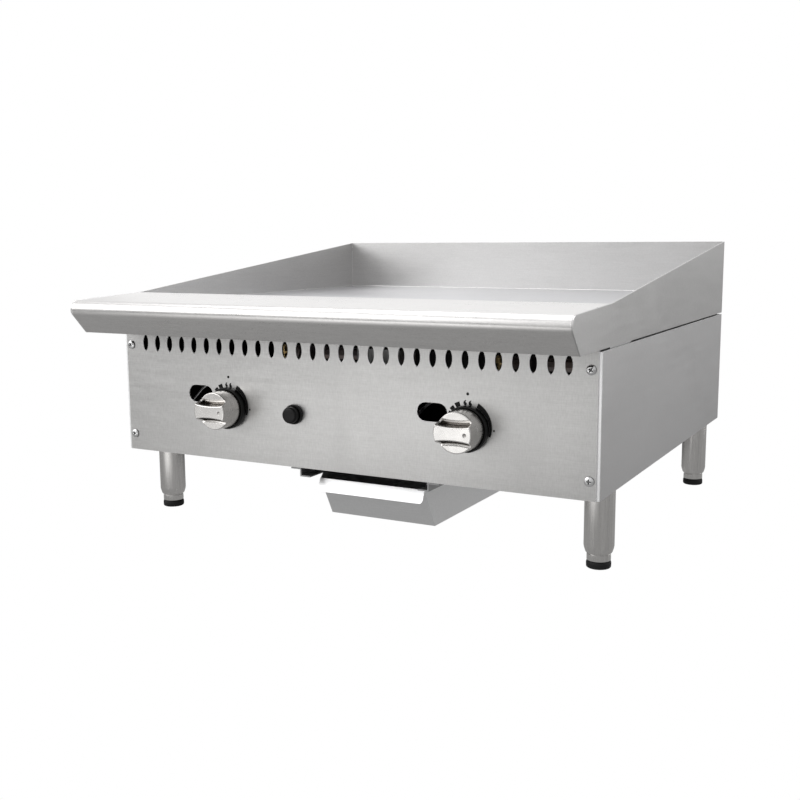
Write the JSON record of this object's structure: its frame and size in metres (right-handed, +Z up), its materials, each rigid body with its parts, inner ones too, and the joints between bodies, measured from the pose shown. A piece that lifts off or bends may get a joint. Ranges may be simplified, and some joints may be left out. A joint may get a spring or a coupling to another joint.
{
  "type": "flat top griddle",
  "caption": "Countertop gas griddle: steel plate between splash guards, bullnose deck, control panel with knobs and igniter button, grease drawer and levelling legs.",
  "frame": {"origin": "middle of the overall footprint, on the counter that the feet stand on", "axes": "+Z up, the control panel and the knobs face -Y, +X to the right seen from the front"},
  "size_m": [0.72, 0.7813, 0.3962],
  "materials": {
    "stainless": "satin stainless sheet, fine grain",
    "plate_steel": "ground and polished thick steel plate",
    "leg_steel": "lengthwise brushed stainless tube",
    "black_steel": "black painted steel",
    "burner_steel": "heat-dulled steel tube",
    "brass": "machined brass",
    "aluminium": "plain aluminium",
    "satin_chrome": "satin plated die casting",
    "spring_steel": "bright spring wire",
    "screw_steel": "polished stainless screw",
    "black_plastic": "black moulded plastic",
    "rubber": "black rubber"
  },
  "bodies": {
    "casing": {"control_panel": "stainless", "side_panel_left": "stainless", "side_panel_right": "stainless", "back_panel": "stainless", "bottom_pan": "stainless", "splash_left": "stainless", "splash_right": "stainless", "splash_back": "stainless", "front_deck": "stainless", "grease_trough": "stainless", "drawer_rail_left": "stainless", "drawer_rail_right": "stainless", "leg_front_left": "leg_steel", "leg_front_right": "leg_steel", "leg_rear_left": "leg_steel", "leg_rear_right": "leg_steel", "griddle_plate": "plate_steel", "plate_rail_front": "black_steel", "plate_rail_rear": "black_steel", "burner_support": "black_steel", "gas_manifold": "black_steel", "burner_left": "burner_steel", "orifice_left": "brass", "gas_valve_left": "brass", "valve_spring_left": "spring_steel", "knob_bezel_left": "black_plastic", "pilot_burner_left": "brass", "pilot_tube_left": "aluminium", "burner_right": "burner_steel", "orifice_right": "brass", "gas_valve_right": "brass", "valve_spring_right": "spring_steel", "knob_bezel_right": "black_plastic", "pilot_burner_right": "brass", "pilot_tube_right": "aluminium", "igniter_body": "black_plastic", "igniter_nut": "black_plastic", "igniter_spring": "spring_steel", "panel_screw_left_lower": "screw_steel", "panel_screw_left_upper": "screw_steel", "panel_screw_right_lower": "screw_steel", "panel_screw_right_upper": "screw_steel"},
    "valve_pin_left": {"valve_push_pin_left": "spring_steel"},
    "knob_left": {"knob_left": "satin_chrome", "valve_stem_left": "brass"},
    "shutter_left": {"air_shutter_left": "aluminium"},
    "valve_pin_right": {"valve_push_pin_right": "spring_steel"},
    "knob_right": {"knob_right": "satin_chrome", "valve_stem_right": "brass"},
    "shutter_right": {"air_shutter_right": "aluminium"},
    "button": {"igniter_button": "black_plastic"},
    "drawer": {"grease_drawer": "stainless"},
    "foot_front_left": {"levelling_foot_front_left": "leg_steel", "foot_pad_front_left": "rubber"},
    "foot_front_right": {"levelling_foot_front_right": "leg_steel", "foot_pad_front_right": "rubber"},
    "foot_rear_left": {"levelling_foot_rear_left": "leg_steel", "foot_pad_rear_left": "rubber"},
    "foot_rear_right": {"levelling_foot_rear_right": "leg_steel", "foot_pad_rear_right": "rubber"}
  },
  "joints": [
    {"name": "valve_push_left", "type": "slide", "parent": "casing", "child": "valve_pin_left", "axis": [0, 1, 0], "range_m": [0, 0.004], "stiffness_N_per_m": 1500, "springref_m": -0.002, "deforming": ["valve_spring_left"]},
    {"name": "knob_turn_left", "type": "hinge", "parent": "valve_pin_left", "child": "knob_left", "pos_m": [-0.1733, -0.28735, 0.174], "axis": [0, -1, 0], "range_deg": [0, 180]},
    {"name": "air_shutter_turn_left", "type": "hinge", "parent": "casing", "child": "shutter_left", "pos_m": [-0.1733, -0.21175, 0.174], "axis": [0, 1, 0], "range_deg": [0, 90]},
    {"name": "valve_push_right", "type": "slide", "parent": "casing", "child": "valve_pin_right", "axis": [0, 1, 0], "range_m": [0, 0.004], "stiffness_N_per_m": 1500, "springref_m": -0.002, "deforming": ["valve_spring_right"]},
    {"name": "knob_turn_right", "type": "hinge", "parent": "valve_pin_right", "child": "knob_right", "pos_m": [0.19159, -0.28735, 0.174], "axis": [0, -1, 0], "range_deg": [0, 180]},
    {"name": "air_shutter_turn_right", "type": "hinge", "parent": "casing", "child": "shutter_right", "pos_m": [0.19159, -0.21175, 0.174], "axis": [0, 1, 0], "range_deg": [0, 90]},
    {"name": "igniter_push", "type": "slide", "parent": "casing", "child": "button", "axis": [0, 1, 0], "range_m": [0, 0.005], "stiffness_N_per_m": 2500, "springref_m": -0.0015, "deforming": ["igniter_spring"]},
    {"name": "drawer_slide", "type": "slide", "parent": "casing", "child": "drawer", "axis": [0, -1, 0], "range_m": [0, 0.38]},
    {"name": "foot_screw_front_left", "type": "slide", "parent": "casing", "child": "foot_front_left", "axis": [0, 0, -1], "range_m": [-0.009, 0.02]},
    {"name": "foot_screw_front_right", "type": "slide", "parent": "casing", "child": "foot_front_right", "axis": [0, 0, -1], "range_m": [-0.009, 0.02]},
    {"name": "foot_screw_rear_left", "type": "slide", "parent": "casing", "child": "foot_rear_left", "axis": [0, 0, -1], "range_m": [-0.009, 0.02]},
    {"name": "foot_screw_rear_right", "type": "slide", "parent": "casing", "child": "foot_rear_right", "axis": [0, 0, -1], "range_m": [-0.009, 0.02]}
  ]
}
